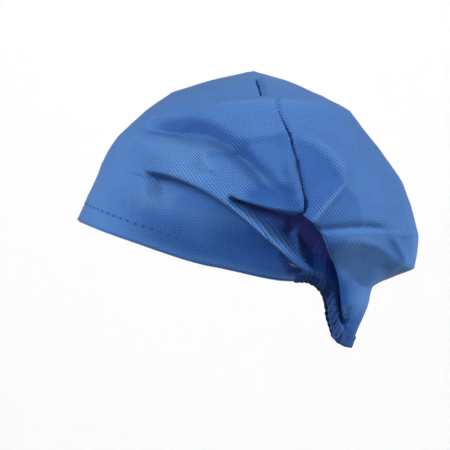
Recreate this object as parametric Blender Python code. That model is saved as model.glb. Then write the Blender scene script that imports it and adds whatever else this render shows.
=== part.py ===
"""Disposable nonwoven cap as worn: a limp bag of sheet with a stitched front hem and an elastic nape.

The cap faces -X and its origin is the middle of the head opening, half way between the front of
the rim and the nape edge. Run it with blender --background --python part.py, or from the Text Editor.
"""

import math
from typing import NamedTuple

import bpy
import numpy as np

# Driving sizes of the worn cap
CAP_LENGTH = 0.2176
CAP_WIDTH = 0.1780
CAP_HEIGHT = 0.1770

# The sheet, its hem and the nape elastic
WALL = 0.0010
LAYER_GAP = 0.0004
HEM_WIDTH = 0.0100
CASING_WIDTH = 0.0070
ELASTIC_WIDTH = 0.0045
ELASTIC_THICKNESS = 0.0008
ELASTIC_RISE = 0.0010

# Rows of the sheet beside the rim, by their distance above it, and the rows where the elastic's two
# edges and the casing's free edge lie
RIM_RUNS = (0.0, ELASTIC_RISE, ELASTIC_RISE + ELASTIC_WIDTH, CASING_WIDTH, HEM_WIDTH)
ELASTIC_ROWS = (1, 2)
CASING_ROW = 3

# Folds: the unit that fold heights are shares of, the unit that fold widths are shares of, the
# distance from the centre plane over which the folds of one side die out, and the distance above the
# hem over which they grow
FOLD_DEPTH = 0.0060
FOLD_REACH = 0.0200
FOLD_MARGIN = 0.0280
FOLD_FADE = 0.0080

# Gathers that the elastic draws up along the nape
GATHER_DEPTH = 0.0011
GATHER_FADE = 0.0150
GATHERS_PER_SIDE = 5
GATHER_RUN_IN = 0.08


class Ring(NamedTuple):
    """One ring of the cap, level from side to side and tilted from front to back.

    Places are shares of the cap's length from its front, and heights are shares of its height from
    the nape edge. rim is the share of the rim's own line that the ring follows, crease is 1 where the
    sheet keeps a folded edge, and steps is the rows of facets up to the next ring.
    """

    front: float
    front_up: float
    back: float
    back_up: float
    width: float
    square: float
    rim: float
    crease: float
    steps: int


class RimPoint(NamedTuple):
    """A point of the rim's left half: its share of the half loop, its bearing in plan and its height.

    The bearing is in degrees from the front, and the height is a share of the cap's height.
    """

    turn: float
    bearing: float
    up: float


class Fold(NamedTuple):
    """A fold of one side, along a curve from start past bend to end in the side view.

    The curve's points are shares of the cap's length and height. lip is how far the sheet stands out
    on the curve and drop how far it falls back beyond it, as shares of FOLD_DEPTH. above, step and
    below are widths, as shares of FOLD_REACH: above is on the left of the curve's run, and the sheet
    reaches its drop at step and is level at below. grow and fade are the shares of the curve over
    which the fold begins and dies out.
    """

    name: str
    start: tuple
    bend: tuple
    end: tuple
    lip: float
    drop: float
    above: float
    step: float
    below: float
    grow: float
    fade: float


# Rings from the rim to the peak
RINGS = (
    Ring(0.000, 0.468, 0.796, 0.008, 0.850, 2.30, 1.00, 1.0, 1),
    Ring(0.031, 0.553, 0.847, 0.136, 0.918, 2.30, 0.72, 0.0, 3),
    Ring(0.051, 0.609, 0.869, 0.226, 0.960, 2.32, 0.46, 0.7, 3),
    Ring(0.068, 0.656, 0.987, 0.285, 0.988, 2.34, 0.24, 0.8, 4),
    Ring(0.085, 0.703, 1.000, 0.407, 1.000, 2.34, 0.10, 0.5, 3),
    Ring(0.118, 0.762, 0.968, 0.548, 0.970, 2.30, 0.03, 0.0, 2),
    Ring(0.160, 0.812, 0.932, 0.642, 0.905, 2.26, 0.00, 0.2, 2),
    Ring(0.212, 0.868, 0.847, 0.779, 0.780, 2.20, 0.00, 0.0, 2),
    Ring(0.276, 0.922, 0.800, 0.856, 0.640, 2.14, 0.00, 0.9, 2),
    Ring(0.403, 0.969, 0.653, 0.946, 0.330, 2.06, 0.00, 0.0, 2),
    Ring(0.518, 1.000, 0.518, 1.000, 0.000, 2.00, 0.00, 0.0, 0),
)

# Middle of the head opening, in shares, where the origin lies
MIDDLE = ((RINGS[0].front + RINGS[0].back) / 2.0, 0.0, (RINGS[0].front_up + RINGS[0].back_up) / 2.0)

# Line of the rim from the front, over the ear and down behind it to the nape
RIM_LINE = (
    RimPoint(0.000, 0.0, 0.468),
    RimPoint(0.140, 27.0, 0.443),
    RimPoint(0.300, 57.0, 0.387),
    RimPoint(0.500, 95.5, 0.285),
    RimPoint(0.600, 114.5, 0.250),
    RimPoint(0.665, 128.5, 0.242),
    RimPoint(0.710, 137.5, 0.222),
    RimPoint(0.750, 143.5, 0.180),
    RimPoint(0.790, 147.0, 0.116),
    RimPoint(0.836, 151.5, 0.046),
    RimPoint(0.880, 158.0, 0.022),
    RimPoint(1.000, 180.0, 0.008),
)

# Turn of the side seam, where the front hem ends and the gathered casing starts
SEAM_TURN = 0.635

# Columns of facets on one side, before and after the side seam
FRONT_COLUMNS = 20
BACK_COLUMNS = 20

# Folds of the left side, which the photo shows
LEFT_FOLDS = (
    Fold("brow", (0.206, 0.813), (0.526, 0.862), (0.624, 0.513), 0.55, 1.10, 1.00, 0.60, 1.50, 0.35, 0.12),
    Fold("temple", (0.200, 0.640), (0.415, 0.618), (0.700, 0.264), 0.60, 0.60, 0.70, 0.50, 1.80, 0.30, 0.12),
    Fold("ear", (0.441, 0.542), (0.579, 0.528), (0.688, 0.437), 0.30, 0.90, 0.55, 0.50, 1.05, 0.60, 0.15),
    Fold("lip", (0.662, 0.488), (0.771, 0.315), (0.794, 0.007), 0.60, 1.25, 1.30, 0.55, 1.25, 0.20, 0.10),
    Fold("seam", (0.676, 0.418), (0.626, 0.745), (0.585, 0.906), 0.35, 0.40, 0.55, 0.45, 1.00, 0.10, 0.25),
    Fold("facet", (0.676, 0.443), (0.732, 0.518), (0.797, 0.611), 0.55, 0.00, 0.70, 0.50, 0.90, 0.15, 0.30),
    Fold("pouch", (0.676, 0.418), (0.800, 0.400), (0.970, 0.405), -0.45, 0.00, 0.60, 0.50, 0.60, 0.15, 0.40),
    Fold("crown", (0.632, 0.772), (0.726, 0.725), (0.797, 0.611), 0.30, 0.00, 0.80, 0.50, 0.80, 0.25, 0.25),
    Fold("cross", (0.315, 0.689), (0.476, 0.718), (0.626, 0.765), 0.20, 0.12, 0.55, 0.45, 0.90, 0.35, 0.20),
)

# Plainer folds of the right side, which the photo doesn't show
RIGHT_FOLDS = (
    Fold("brow", (0.160, 0.740), (0.480, 0.840), (0.640, 0.500), 0.35, 0.65, 1.00, 0.60, 1.30, 0.35, 0.15),
    Fold("temple", (0.230, 0.600), (0.400, 0.620), (0.700, 0.270), 0.45, 0.60, 0.75, 0.55, 1.70, 0.30, 0.12),
    Fold("lip", (0.640, 0.520), (0.765, 0.330), (0.795, 0.010), 0.50, 1.20, 1.30, 0.50, 1.20, 0.25, 0.10),
    Fold("facet", (0.660, 0.480), (0.700, 0.620), (0.740, 0.780), 0.40, 0.00, 0.80, 0.50, 0.90, 0.20, 0.35),
    Fold("pouch", (0.660, 0.450), (0.800, 0.440), (0.950, 0.420), -0.40, 0.00, 0.65, 0.50, 0.60, 0.15, 0.40),
)

FABRIC_BLUE = (0.085, 0.225, 0.560, 1.0)
ELASTIC_WHITE = (0.620, 0.700, 0.830, 1.0)
FABRIC_ROUGHNESS = 0.70
SMOOTH_ANGLE = math.radians(60)

# How finely a meridian and a fold's curve are worked out before they are read
MERIDIAN_SAMPLES = 10
CURVE_SAMPLES = 24

# Share of its neighbours' normals that evens out each normal
NORMAL_EVENING = 0.5


def smoothstep(share):
    """Eases a share from 0 to 1."""
    share = np.clip(share, 0.0, 1.0)
    return share * share * (3.0 - 2.0 * share)


def column_of(table, name):
    """Returns one named column of a table."""
    return np.array([getattr(row, name) for row in table], float)


def knot_slopes(knots, values, creases):
    """Slopes before and after each knot. A creased knot takes the chords on its two sides."""
    chords = np.diff(values, axis=0) / np.diff(knots)[:, None, None]
    before = np.concatenate([chords[:1], chords])
    after = np.concatenate([chords, chords[-1:]])
    mean = (before + after) / 2.0
    sharp = creases[:, None, None]
    return mean + (before - mean) * sharp, mean + (after - mean) * sharp


def curve_through(knots, values, creases, at):
    """Cubic curves through values, an array of (knots, curves, parts), read at the numbers in at."""
    before, after = knot_slopes(knots, values, creases)
    low = np.clip(np.searchsorted(knots, at, side="right") - 1, 0, len(knots) - 2)
    span = (knots[low + 1] - knots[low])[:, None, None]
    t = (at[:, None, None] - knots[low][:, None, None]) / span
    near = (2 * t**3 - 3 * t**2 + 1) * values[low] + (t**3 - 2 * t**2 + t) * span * after[low]
    far = (3 * t**2 - 2 * t**3) * values[low + 1] + (t**3 - t**2) * span * before[low + 1]
    return near + far


def from_table(table, key, name, at):
    """Reads a smooth curve through one column of a table."""
    values = column_of(table, name)[:, None, None]
    return curve_through(column_of(table, key), values, np.zeros(len(table)), at)[:, 0, 0]


def column_turns():
    """Turn of each column round the loop: the left side from the front, then the right side back."""
    front = np.linspace(0.0, SEAM_TURN, FRONT_COLUMNS + 1)
    back = np.linspace(SEAM_TURN, 1.0, BACK_COLUMNS + 1)
    left = np.concatenate([front, back[1:]])
    return np.concatenate([left, left[-2:0:-1]])


def side_signs(turns):
    """-1 on the left side, +1 on the right, and 0 on the two columns of the centre plane."""
    half = FRONT_COLUMNS + BACK_COLUMNS
    signs = np.where(np.arange(len(turns)) < half, -1.0, 1.0)
    signs[[0, half]] = 0.0
    return signs


def plan_ring(ring, bearing):
    """Points of one ring at the given bearings, with no line of its own: a level loop set at a tilt."""
    power = 2.0 / ring.square
    along = -np.sign(np.cos(bearing)) * np.abs(np.cos(bearing)) ** power
    across = np.abs(np.sin(bearing)) ** power
    middle = (ring.front + ring.back) / 2.0
    half = (ring.back - ring.front) / 2.0
    up = ring.front_up + (ring.back_up - ring.front_up) * (along + 1.0) / 2.0
    return np.stack([middle + half * along, ring.width / 2.0 * across, up], axis=-1)


def ring_points(ring, turns, signs):
    """Points of one ring in metres, as it follows the rim's line by its own share."""
    even = turns * math.pi
    rim_bearing = np.radians(from_table(RIM_LINE, "turn", "bearing", turns))
    bearing = even + (rim_bearing - even) * ring.rim
    points = plan_ring(ring, bearing)
    level = plan_ring(RINGS[0], rim_bearing)[:, 2]
    points[:, 2] += (from_table(RIM_LINE, "turn", "up", turns) - level) * ring.rim
    points[:, 1] *= signs
    return (points - MIDDLE) * (CAP_LENGTH, CAP_WIDTH, CAP_HEIGHT)


def side_view(place):
    """Turns a place given in shares of the side view into metres."""
    return np.array([(place[0] - MIDDLE[0]) * CAP_LENGTH, (place[1] - MIDDLE[2]) * CAP_HEIGHT])


def fold_curve(fold):
    """Points along a fold's curve in the side view."""
    t = np.linspace(0.0, 1.0, CURVE_SAMPLES)[:, None]
    start, bend, end = (side_view(place) for place in (fold.start, fold.bend, fold.end))
    return (1 - t) ** 2 * start + 2 * t * (1 - t) * bend + t**2 * end


def across_curve(curve, places):
    """Signed distance of each place from a curve, positive on its right, and its share of the run."""
    best = np.full(len(places), np.inf)
    signed, along = np.zeros(len(places)), np.zeros(len(places))
    for i, (a, b) in enumerate(zip(curve[:-1], curve[1:])):
        run = b - a
        t = np.clip((places - a) @ run / (run @ run), 0.0, 1.0)
        away = places - a - t[:, None] * run
        far = np.linalg.norm(away, axis=1)
        side = np.where(run[1] * away[:, 0] - run[0] * away[:, 1] >= 0.0, 1.0, -1.0)
        nearer = far < best
        best = np.where(nearer, far, best)
        signed = np.where(nearer, far * side, signed)
        along = np.where(nearer, (i + t) / (len(curve) - 1), along)
    return signed, along


def fold_height(fold, side, points):
    """How far one fold moves the sheet outwards. side is -1 for the left and 1 for the right."""
    across, along = across_curve(fold_curve(fold), points[:, :, [0, 2]].reshape(-1, 2))
    across, along = across.reshape(points.shape[:2]), along.reshape(points.shape[:2])
    share = across / FOLD_REACH
    rise = fold.lip * smoothstep(1.0 + share / fold.above)
    fall = fold.lip - (fold.lip + fold.drop) * smoothstep(share / fold.step)
    if fold.drop == 0.0:
        level = fold.lip * smoothstep(1.0 - share / fold.below)
    else:
        level = -fold.drop * smoothstep((fold.below - share) / (fold.below - fold.step))
        level = np.where(share < fold.step, fall, level)
    ends = smoothstep(along / fold.grow) * smoothstep((1.0 - along) / fold.fade)
    margin = smoothstep(points[:, :, 1] * side / FOLD_MARGIN)
    return np.where(share < 0.0, rise, level) * ends * margin * FOLD_DEPTH


def gather_height(turns, run):
    """How far the gathers move points outwards, from their turns and their runs above the rim."""
    share = (turns - SEAM_TURN) / (1.0 - SEAM_TURN)
    wave = np.cos(share * GATHERS_PER_SIDE * 2.0 * math.pi) * smoothstep(share / GATHER_RUN_IN)
    return GATHER_DEPTH * wave * np.exp(-run / GATHER_FADE)


def outward(points):
    """Outward normals of a whole sheet of points, evened out a little over their neighbours."""
    around = np.roll(points, -1, axis=1) - np.roll(points, 1, axis=1)
    normals = np.cross(around, np.gradient(points, axis=0))
    normals /= np.linalg.norm(normals, axis=2, keepdims=True)
    beside = np.roll(normals, -1, axis=1) + np.roll(normals, 1, axis=1)
    normals = normals + NORMAL_EVENING * beside
    return normals / np.linalg.norm(normals, axis=2, keepdims=True)


def run_above_rim(points):
    """Distance of each point above the rim, along its own column."""
    steps = np.linalg.norm(np.diff(points, axis=0), axis=2)
    return np.concatenate([np.zeros((1, points.shape[1])), np.cumsum(steps, axis=0)])


class Sheet:
    """The outer face of the sheet in rows and columns, from the rim to just below the peak.

    Every layer cuts a four-sided facet along the same diagonal, so that no layer crosses its neighbour.
    """

    def __init__(self):
        turns = column_turns()
        signs = side_signs(turns)
        self.columns = np.arange(len(turns))
        rings = np.stack([ring_points(ring, turns, signs) for ring in RINGS])
        heights = np.linspace(0.0, len(RINGS) - 1.0, (len(RINGS) - 1) * MERIDIAN_SAMPLES + 1)
        knots = np.arange(len(RINGS), dtype=float)
        smooth = curve_through(knots, rings, column_of(RINGS, "crease"), heights)
        self.peak = smooth[-1, 0]
        run = run_above_rim(smooth)
        level = smoothstep((run - HEM_WIDTH) / FOLD_FADE)
        folds = sum(fold_height(fold, -1.0, smooth) for fold in LEFT_FOLDS)
        folds = folds + sum(fold_height(fold, 1.0, smooth) for fold in RIGHT_FOLDS)
        rise = folds * level + gather_height(turns, run)
        fine = smooth[:-1] + outward(smooth[:-1]) * rise[:-1, :, None]
        rows = [self.read(fine, self.height_at(run, above, heights)) for above in RIM_RUNS]
        rows.append(self.read(fine, (self.height_at(run, HEM_WIDTH, heights) + 1.0) / 2.0))
        for i, ring in enumerate(RINGS[1:-1], start=1):
            for k in range(ring.steps):
                rows.append(self.read(fine, np.full(len(turns), i + k / ring.steps)))
        self.rows = np.stack(rows)
        self.normals = outward(self.rows)
        beside = np.roll(self.rows, -1, axis=1)
        rising = np.linalg.norm(beside[1:] - self.rows[:-1], axis=2)
        self.rising = rising <= np.linalg.norm(self.rows[1:] - beside[:-1], axis=2)

    def height_at(self, run, above, heights):
        """Height, in rings, that lies this far above the rim on each column."""
        return np.array([np.interp(above, run[:, i], heights) for i in self.columns])

    def read(self, fine, height):
        """One row of points, where each column has its own height in rings."""
        low = np.clip((height * MERIDIAN_SAMPLES).astype(int), 0, len(fine) - 2)
        share = (height * MERIDIAN_SAMPLES - low)[:, None]
        return fine[low, self.columns] * (1 - share) + fine[low + 1, self.columns] * share

    def offset(self, row, outwards, beyond=0.0):
        """One row moved outwards, and moved in the sheet's own face beyond the rim."""
        rim = np.roll(self.rows[row], -1, axis=0) - np.roll(self.rows[row], 1, axis=0)
        down = np.cross(rim, self.normals[row])
        down /= np.linalg.norm(down, axis=1, keepdims=True)
        return self.rows[row] + self.normals[row] * outwards + down * beyond


def fabric(name, colour):
    """Makes a matt cloth material."""
    material = bpy.data.materials.new(name)
    material.use_nodes = True
    shader = material.node_tree.nodes["Principled BSDF"]
    shader.inputs["Base Color"].default_value = colour
    shader.inputs["Roughness"].default_value = FABRIC_ROUGHNESS
    shader.inputs["Metallic"].default_value = 0.0
    return material


def add_solid(name, points, faces, material, collection):
    """Adds one named solid to the collection, smooth apart from its folded edges."""
    mesh = bpy.data.meshes.new(name)
    mesh.from_pydata([tuple(point) for point in points], [], faces)
    mesh.materials.append(material)
    mesh.shade_smooth()
    mesh.set_sharp_from_angle(angle=SMOOTH_ANGLE)
    solid = bpy.data.objects.new(name, mesh)
    collection.objects.link(solid)
    return solid


def cut(a, b, c, d, first):
    """Cuts a four-sided facet into two triangles, from its first corner or from its second."""
    return [(a, b, c), (a, c, d)] if first else [(a, b, d), (b, c, d)]


def add_crown(sheet, material, collection):
    """The bag of the cap: an outer and an inner sheet lofted through the rings and joined at the rim."""
    rows, count = sheet.rows.shape[:2]
    outer = sheet.rows.reshape(-1, 3)
    inner = (sheet.rows - sheet.normals * WALL).reshape(-1, 3)
    points = [*outer, *inner, sheet.peak, sheet.peak - (0.0, 0.0, WALL)]
    faces = []
    for i in range(count):
        j = (i + 1) % count
        for k in range(rows - 1):
            low, high = k * count, (k + 1) * count
            faces += cut(low + i, low + j, high + j, high + i, sheet.rising[k, i])
            low, high = low + rows * count, high + rows * count
            faces += cut(low + j, low + i, high + i, high + j, not sheet.rising[k, i])
        last = (rows - 1) * count
        faces.append((last + i, last + j, len(points) - 2))
        faces.append((last + rows * count + j, last + rows * count + i, len(points) - 1))
        faces.append((j, i, rows * count + i, rows * count + j))
    return add_solid("crown", points, faces, material, collection)


def add_strip(name, sheet, columns, face, back, material, collection):
    """A strip swept along some columns. face and back list its two sides for Sheet.offset."""
    outline = face + back[::-1]
    sides, count = len(outline), len(columns)
    points = [point for corner in outline for point in sheet.offset(*corner)[columns]]
    faces = []
    for k in range(len(face) - 1):
        end = [corner * count for corner in (k, k + 1, sides - k - 2, sides - k - 1)]
        faces += [tuple(end), tuple(corner + count - 1 for corner in reversed(end))]
    for k in range(sides):
        low, high = k * count, (k + 1) % sides * count
        row, next_row = outline[k][0], outline[(k + 1) % sides][0]
        for i in range(count - 1):
            rising = sheet.rising[min(row, next_row), columns[i]]
            faces += cut(low + i, low + i + 1, high + i + 1, high + i, rising == (next_row > row))
    return add_solid(name, points, faces, material, collection)


def add_front_hem(sheet, material, collection):
    """The turned-up hem inside the front rim, from one side seam to the other."""
    columns = np.arange(-FRONT_COLUMNS, FRONT_COLUMNS + 1) % len(sheet.columns)
    face = [(row, -WALL - LAYER_GAP) for row in range(len(RIM_RUNS))]
    back = [(row, -2 * WALL - LAYER_GAP) for row in range(len(RIM_RUNS))]
    return add_strip("front_hem", sheet, columns, face, back, material, collection)


def back_columns():
    """Columns of the gathered back, from just behind one side seam round the nape to the other."""
    return np.arange(FRONT_COLUMNS + 1, FRONT_COLUMNS + 2 * BACK_COLUMNS)


def add_casing(sheet, material, collection):
    """The folded strip that binds the nape edge: an inner wall, a fold and an outer wall."""
    near, far = LAYER_GAP, LAYER_GAP + WALL
    inner = -WALL - 2 * LAYER_GAP - ELASTIC_THICKNESS
    up = range(1, CASING_ROW + 1)
    face = [(row, inner) for row in reversed(up)] + [(0, inner, near), (0, near, near)]
    face += [(row, near) for row in up]
    back = [(row, inner - WALL) for row in reversed(up)] + [(0, inner - WALL, far), (0, far, far)]
    back += [(row, far) for row in up]
    return add_strip("nape_casing", sheet, back_columns(), back, face, material, collection)


def add_elastic(sheet, material, collection):
    """The flat elastic inside the casing."""
    outer = -WALL - LAYER_GAP
    face = [(row, outer) for row in ELASTIC_ROWS]
    back = [(row, outer - ELASTIC_THICKNESS) for row in ELASTIC_ROWS]
    return add_strip("elastic_band", sheet, back_columns(), face, back, material, collection)


def clear_scene():
    """Removes the objects that the scene starts with."""
    for item in list(bpy.data.objects):
        bpy.data.objects.remove(item)


def main():
    """Builds the cap in a collection of its own."""
    clear_scene()
    collection = bpy.data.collections.new("disposable_cap")
    bpy.context.scene.collection.children.link(collection)
    blue = fabric("nonwoven_blue", FABRIC_BLUE)
    white = fabric("elastic_white", ELASTIC_WHITE)
    sheet = Sheet()
    add_crown(sheet, blue, collection)
    add_front_hem(sheet, blue, collection)
    add_casing(sheet, blue, collection)
    add_elastic(sheet, white, collection)


main()
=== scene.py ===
"""Dressed model of a disposable nonwoven cap as worn: crown, front hem, nape casing, elastic and stitches.

The cap faces -X, with its left side to the camera, and its origin is the middle of the head opening.
"""

from __future__ import annotations

import logging
import math
from dataclasses import dataclass, field
from enum import Enum
from typing import NamedTuple, Sequence, Union

import bpy
import numpy as np
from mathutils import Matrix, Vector, noise


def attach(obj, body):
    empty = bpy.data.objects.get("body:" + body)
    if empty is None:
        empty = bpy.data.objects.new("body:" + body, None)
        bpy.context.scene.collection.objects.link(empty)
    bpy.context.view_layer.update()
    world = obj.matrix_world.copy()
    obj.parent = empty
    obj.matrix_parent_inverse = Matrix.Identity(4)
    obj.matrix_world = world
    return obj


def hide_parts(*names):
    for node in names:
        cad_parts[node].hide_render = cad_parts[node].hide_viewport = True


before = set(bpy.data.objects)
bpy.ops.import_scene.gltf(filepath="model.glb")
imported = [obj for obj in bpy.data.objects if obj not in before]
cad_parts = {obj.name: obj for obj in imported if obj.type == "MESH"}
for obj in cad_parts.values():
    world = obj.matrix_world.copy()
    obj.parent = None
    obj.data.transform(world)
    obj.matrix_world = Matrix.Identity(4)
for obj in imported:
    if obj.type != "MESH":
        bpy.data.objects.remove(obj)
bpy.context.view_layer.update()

LOG = logging.getLogger("cap")

# Driving sizes of the worn cap, in metres
CAP_LENGTH = 0.2176
CAP_WIDTH = 0.1780
CAP_HEIGHT = 0.1770

# The sheet and what is folded from it. The hem is 2 mm deeper than the solid's
CAD_WALL = 0.0010
LAYER_GAP = 0.0004
SHEET_THICKNESS = 0.00045
HEM_WIDTH = 0.0120
STITCH_LINE = 0.0114
CASING_WIDTH = 0.0070
ELASTIC_WIDTH = 0.0045
ELASTIC_THICKNESS = 0.0008
ELASTIC_RISE = 0.0010

# Units and limits of the folds. The flat band above the rim and the fade above it aren't the solids' own
FOLD_DEPTH = 0.0060
FOLD_REACH = 0.0200
FOLD_MARGIN = 0.0280
FLAT_EDGE = 0.0060
FOLD_FADE = 0.0100
DEEPEST_FOLD = 0.0165

# Shape that folds and creases share: width of a drop where its fold starts, how the trough comes back
# up, how far it is pushed back, how the ends spread away from the curve, where the painted shade on a
# crisp drop's face starts and ends, and how sharp a crest is
CRISP_START = 0.3
CRISP_GROWTH = 0.25
SOFT_START = 0.25
CRISP_RISE = 1.6
PUSH_BACK = 0.5
END_SPREAD = 2.5
END_CORE = 0.1
SHADE_START = 0.12
SHADE_END = 0.06
CREST_POWER = 1.7

# Lengths and angles below which a direction isn't told
NO_LENGTH = 1e-12
NEAR_MIDDLE = 1e-6
FLAT_BEND = 1e-3

# Turn of the side seam, where the front hem ends and the gathered casing starts
SEAM_TURN = 0.635


class Ring(NamedTuple):
    """One ring of the cap, level from side to side and tilted from front to back.

    Places are shares of the cap's length from its front, and heights are shares of its height from
    the nape edge. rim is the share of the rim's own line that the ring follows, and crease is 1 where
    the sheet keeps a folded edge.
    """

    front: float
    front_up: float
    back: float
    back_up: float
    width: float
    square: float
    rim: float
    crease: float


class RimPoint(NamedTuple):
    """A point of the rim's left half: its share of the half loop, its bearing and its height."""

    turn: float
    bearing: float
    up: float


class Fold(NamedTuple):
    """A fold of one side, along a curve from start past bend to end in the side view.

    The curve's points are shares of the cap's length and height. lip and drop are heights, as shares
    of FOLD_DEPTH, and above, step and below are widths, as shares of FOLD_REACH. grow and fade are the
    shares of the curve over which the fold begins and dies out. lean is how far the lip is pushed over
    the trough beside it, as a share of FOLD_DEPTH. rise is the width over which the trough comes back
    up, or 0 where it comes back over all of its width. fall is the power of the drop from the lip, below
    1 where its foot is the crisp edge. taper is the trough's width at the start, as a share of its end's.
    soft is true where the lip is rounded, over a drop that is narrow at the start. The colour takes
    painted shade from the trough, and from the drop's face instead where the foot is crisp.
    """

    name: str
    start: tuple[float, float]
    bend: tuple[float, float]
    end: tuple[float, float]
    lip: float
    drop: float
    above: float
    step: float
    below: float
    grow: float
    fade: float
    lean: float = 0.0
    rise: float = 0.0
    fall: float = 1.7
    taper: float = 1.0
    soft: bool = False


class Crease(NamedTuple):
    """A pressed crease of the sheet, with a sharp crest, or a sharp groove where its height is below 0."""

    name: str
    start: tuple[float, float]
    bend: tuple[float, float]
    end: tuple[float, float]
    height: float
    above: float
    below: float
    grow: float = 0.25
    fade: float = 0.25


class Facet(NamedTuple):
    """A patch of the left side with a tone of its own, between corners in shares of the side view.

    depth is how strong the tone is, and edge is the width of its soft edge in metres. Each table of
    patches paints one of three tones: shade, in part over cloth that lies in two layers; highlights;
    and shadow.
    """

    name: str
    depth: float
    corners: tuple[tuple[float, float], ...]
    edge: float = 0.0030


RINGS = (
    Ring(0.000, 0.468, 0.796, 0.008, 0.850, 2.30, 1.00, 1.0),
    Ring(0.031, 0.553, 0.847, 0.136, 0.918, 2.30, 0.72, 0.0),
    Ring(0.051, 0.609, 0.869, 0.226, 0.960, 2.32, 0.46, 0.7),
    Ring(0.068, 0.656, 0.987, 0.285, 0.988, 2.34, 0.24, 0.8),
    Ring(0.085, 0.703, 1.000, 0.407, 1.000, 2.34, 0.10, 0.5),
    Ring(0.118, 0.762, 0.968, 0.548, 0.970, 2.30, 0.03, 0.0),
    Ring(0.160, 0.812, 0.932, 0.642, 0.905, 2.26, 0.00, 0.2),
    Ring(0.212, 0.868, 0.847, 0.779, 0.780, 2.20, 0.00, 0.0),
    Ring(0.276, 0.922, 0.800, 0.856, 0.640, 2.14, 0.00, 0.9),
    Ring(0.403, 0.969, 0.653, 0.946, 0.330, 2.06, 0.00, 0.0),
    Ring(0.518, 1.000, 0.518, 1.000, 0.000, 2.00, 0.00, 0.0),
)

# Middle of the head opening, in shares, where the origin lies
MIDDLE = ((RINGS[0].front + RINGS[0].back) / 2.0, 0.0, (RINGS[0].front_up + RINGS[0].back_up) / 2.0)

RIM_LINE = (
    RimPoint(0.000, 0.0, 0.468),
    RimPoint(0.140, 27.0, 0.443),
    RimPoint(0.300, 57.0, 0.387),
    RimPoint(0.500, 95.5, 0.285),
    RimPoint(0.600, 114.5, 0.250),
    RimPoint(0.665, 128.5, 0.242),
    RimPoint(0.710, 137.5, 0.222),
    RimPoint(0.750, 143.5, 0.180),
    RimPoint(0.790, 147.0, 0.116),
    RimPoint(0.836, 151.5, 0.046),
    RimPoint(0.880, 158.0, 0.022),
    RimPoint(1.000, 180.0, 0.008),
)

LEFT_FOLDS = (
    Fold(
        "brow", (0.186, 0.784), (0.434, 0.934), (0.614, 0.525),
        0.75, 1.45, 0.90, 0.29, 1.30, 0.14, 0.14, lean=0.15, fall=0.80,
    ),
    Fold(
        "temple", (0.196, 0.641), (0.388, 0.652), (0.704, 0.232),
        0.75, 1.50, 0.50, 0.32, 1.60, 0.06, 0.08, lean=0.30,
    ),
    Fold(
        "ear", (0.446, 0.562), (0.535, 0.506), (0.660, 0.503),
        0.50, 2.20, 0.55, 0.46, 1.50, 0.16, 0.03, lean=0.25, rise=0.24, taper=0.15, soft=True,
    ),
    Fold(
        "lip", (0.654, 0.512), (0.812, 0.388), (0.792, 0.016),
        0.90, 2.50, 1.30, 0.18, 1.15, 0.05, 0.08, lean=0.90, rise=0.34,
    ),
    Fold(
        "seam", (0.660, 0.462), (0.624, 0.735), (0.580, 0.850),
        0.40, 0.40, 0.45, 0.07, 0.21, 0.08, 0.40, lean=0.10, rise=0.12,
    ),
    Fold("facet", (0.667, 0.450), (0.722, 0.516), (0.786, 0.606), 0.40, 0.00, 0.70, 0.50, 0.90, 0.15, 0.30),
    Fold("crown", (0.626, 0.762), (0.756, 0.711), (0.774, 0.581), 0.30, 0.15, 0.80, 0.45, 1.10, 0.20, 0.25),
    Fold("cross", (0.319, 0.681), (0.475, 0.724), (0.620, 0.765), 0.28, 0.24, 0.45, 0.18, 0.90, 0.20, 0.20),
)

RIGHT_FOLDS = (
    Fold(
        "brow", (0.160, 0.740), (0.480, 0.840), (0.640, 0.500),
        0.35, 0.65, 1.00, 0.45, 1.30, 0.35, 0.15, lean=0.15,
    ),
    Fold(
        "temple", (0.230, 0.600), (0.400, 0.620), (0.700, 0.270),
        0.45, 0.60, 0.75, 0.40, 1.70, 0.30, 0.12, lean=0.20,
    ),
    Fold(
        "lip", (0.640, 0.520), (0.765, 0.330), (0.795, 0.010),
        0.50, 1.40, 1.30, 0.30, 1.20, 0.25, 0.10, lean=0.60,
    ),
    Fold("facet", (0.660, 0.480), (0.700, 0.620), (0.740, 0.780), 0.40, 0.00, 0.80, 0.50, 0.90, 0.20, 0.35),
)

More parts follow.
